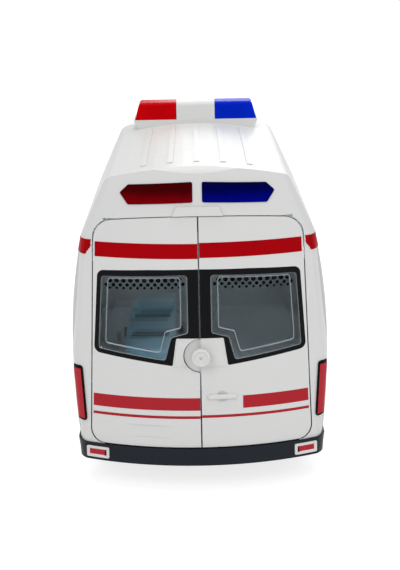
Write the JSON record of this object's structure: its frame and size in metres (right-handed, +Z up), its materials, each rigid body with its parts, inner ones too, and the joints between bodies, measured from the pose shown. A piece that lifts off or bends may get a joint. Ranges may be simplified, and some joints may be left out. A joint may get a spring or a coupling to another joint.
{
  "type": "toy ambulance",
  "caption": "White high-roof toy ambulance van with opening rear doors, rolling wheels on a friction motor, roof light bar and a stretcher inside.",
  "frame": {"origin": "on the floor under the middle of the van's outer box", "axes": "+Y towards the van's front, +X to its right-hand side, +Z up"},
  "size_m": [0.1238, 0.2472, 0.1543],
  "materials": {
    "white_plastic": "gloss",
    "black_plastic": "gloss",
    "bumper_plastic": "satin",
    "chassis_plastic": "satin",
    "grille_plastic": "satin",
    "clear_lens": "gloss",
    "smoke_glass": "gloss",
    "red_lens": "gloss",
    "blue_lens": "gloss",
    "board_green": "satin",
    "interior_grey": "satin",
    "cab_grey": "satin",
    "bed_blue": "satin",
    "frame_grey": "satin",
    "case_grey": "satin",
    "cell_wrap": "gloss",
    "steel": "brushed",
    "zinc": "satin",
    "gear_plastic": "satin",
    "rim_plastic": "gloss",
    "tyre_rubber": "matte"
  },
  "bodies": {
    "van": {"lower_body": "white_plastic", "roof_cap": "white_plastic", "lightbar_base": "white_plastic", "chassis": "chassis_plastic", "battery_cover": "chassis_plastic", "speaker": "chassis_plastic", "rear_bumper": "bumper_plastic", "front_bumper": "bumper_plastic", "grille": "grille_plastic", "mirror_left": "grille_plastic", "mirror_right": "grille_plastic", "steering_wheel": "grille_plastic", "stretcher_wheels": "grille_plastic", "headlight_left": "clear_lens", "headlight_right": "clear_lens", "windshield": "smoke_glass", "side_glazing_left": "smoke_glass", "side_glazing_right": "smoke_glass", "tail_light_left": "red_lens", "tail_light_right": "red_lens", "bumper_reflector_left": "red_lens", "bumper_reflector_right": "red_lens", "rear_warning_lens_red": "red_lens", "lightbar_lens_red": "red_lens", "rear_warning_lens_blue": "blue_lens", "lightbar_lens_blue": "blue_lens", "rear_lamp_board": "board_green", "lightbar_lamp_board": "board_green", "circuit_board": "board_green", "interior_tub": "interior_grey", "cab_interior": "cab_grey", "stretcher_frame": "frame_grey", "stretcher_bed": "bed_blue", "motor_case": "case_grey", "battery_cells": "cell_wrap", "chassis_screws": "steel"},
    "left_door": {"rear_door_left": "white_plastic", "window_surround_left": "black_plastic", "rear_window_left": "smoke_glass", "hinge_pins_left": "steel"},
    "right_door": {"rear_door_right": "white_plastic", "window_surround_right": "black_plastic", "rear_window_right": "smoke_glass", "hinge_pins_right": "steel", "door_knob": "white_plastic"},
    "front_wheels": {"front_axle": "steel", "front_rim_left": "rim_plastic", "front_rim_right": "rim_plastic", "front_tyre_left": "tyre_rubber", "front_tyre_right": "tyre_rubber"},
    "rear_wheels": {"rear_axle": "steel", "rear_rim_left": "rim_plastic", "rear_rim_right": "rim_plastic", "rear_tyre_left": "tyre_rubber", "rear_tyre_right": "tyre_rubber", "axle_gear": "gear_plastic"},
    "idler": {"idler_gear": "gear_plastic"},
    "flywheel_wheel": {"flywheel": "zinc"},
    "switch": {"power_switch": "case_grey"}
  },
  "joints": [
    {"name": "right_door_hinge", "type": "hinge", "parent": "van", "child": "right_door", "pos_m": [0.04089, -0.11094, 0.0205], "axis": [-0.04, 0.0555, 0.9977], "range_deg": [0, 90]},
    {"name": "left_door_hinge", "type": "hinge", "parent": "van", "child": "left_door", "pos_m": [-0.04089, -0.11094, 0.0205], "axis": [-0.04, -0.0555, -0.9977], "range_deg": [0, 90]},
    {"name": "front_axle_spin", "type": "hinge", "parent": "van", "child": "front_wheels", "pos_m": [0, 0.07558, 0.018], "axis": [1, 0, 0], "continuous": true},
    {"name": "rear_axle_spin", "type": "hinge", "parent": "van", "child": "rear_wheels", "pos_m": [0, -0.06843, 0.018], "axis": [1, 0, 0], "continuous": true},
    {"name": "idler_spin", "type": "hinge", "parent": "van", "child": "idler", "pos_m": [0, -0.05877, 0.0261], "axis": [1, 0, 0], "continuous": true},
    {"name": "flywheel_spin", "type": "hinge", "parent": "van", "child": "flywheel_wheel", "pos_m": [0, -0.04757, 0.0261], "axis": [1, 0, 0], "continuous": true},
    {"name": "switch_slide", "type": "slide", "parent": "van", "child": "switch", "axis": [0, 1, 0], "range_m": [0, 0.004]}
  ],
  "couplings": [
    {"joint": "idler_spin", "follows": "rear_axle_spin", "ratio": -2.6},
    {"joint": "flywheel_spin", "follows": "rear_axle_spin", "ratio": 5.72}
  ]
}
